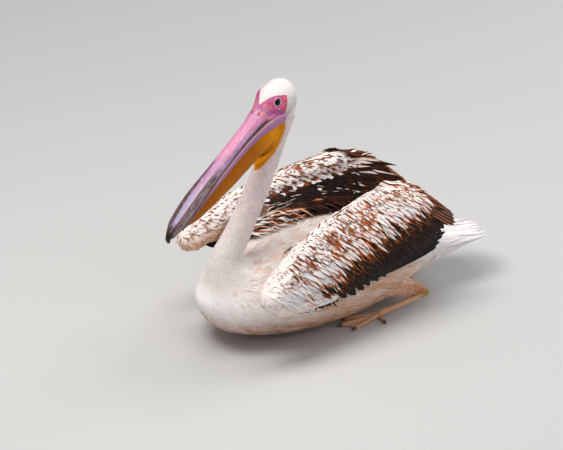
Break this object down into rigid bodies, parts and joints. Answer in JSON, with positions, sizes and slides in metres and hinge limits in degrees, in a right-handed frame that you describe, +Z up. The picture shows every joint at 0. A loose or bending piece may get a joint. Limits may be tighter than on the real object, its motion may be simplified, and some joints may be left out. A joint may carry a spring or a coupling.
{
  "type": "pelican",
  "caption": "Life-size floating pelican with arched wings, a long hooked bill over a yellow throat pouch, a tall neck, tucked webbed feet and a short tail; it rests on its flat belly.",
  "frame": {"origin": "on the floor, at the centre of the belly's flat", "axes": "+Z up, the bird looks along -Y, its left side is +X"},
  "size_m": [0.427, 0.9512, 0.6486],
  "materials": {
    "down": "soft off-white body feathers with a peach wash",
    "spotted_feathers": "white coverts spotted and streaked with brown",
    "flight_feathers": "blackish brown, slightly glossy, with thin rufous edges",
    "tail_feathers": "white feathers with pale grey shafts",
    "bill": "pink and lilac horn, mottled, maroon at the sides of the outer half",
    "nail": "dark red horn with an amber point",
    "pouch": "deep amber yellow bare skin, slightly waxy",
    "eye": "dark brown, wet",
    "leg_skin": "yellow ochre scaly skin"
  },
  "bodies": {
    "root": {"trunk": "down", "neck_lower": "down", "neck_middle": "down", "neck_upper": "down", "head": "down", "tail": "tail_feathers", "eye_left": "eye", "eye_right": "eye", "bill_upper": "bill", "bill_lower": "bill", "bill_nail": "nail", "pouch": "pouch", "wing_left_forearm": "spotted_feathers", "wing_left_hand": "spotted_feathers", "wing_left_upper_arm": "spotted_feathers", "wing_left_secondaries": "flight_feathers", "wing_left_tertials": "flight_feathers", "wing_left_primaries": "flight_feathers", "wing_right_forearm": "spotted_feathers", "wing_right_hand": "spotted_feathers", "wing_right_upper_arm": "spotted_feathers", "wing_right_secondaries": "flight_feathers", "wing_right_tertials": "flight_feathers", "wing_right_primaries": "flight_feathers", "leg_left_thigh": "down", "leg_right_thigh": "down", "leg_left_shank": "leg_skin", "leg_right_shank": "leg_skin", "leg_left_foot": "leg_skin", "leg_right_foot": "leg_skin"}
  },
  "joints": []
}
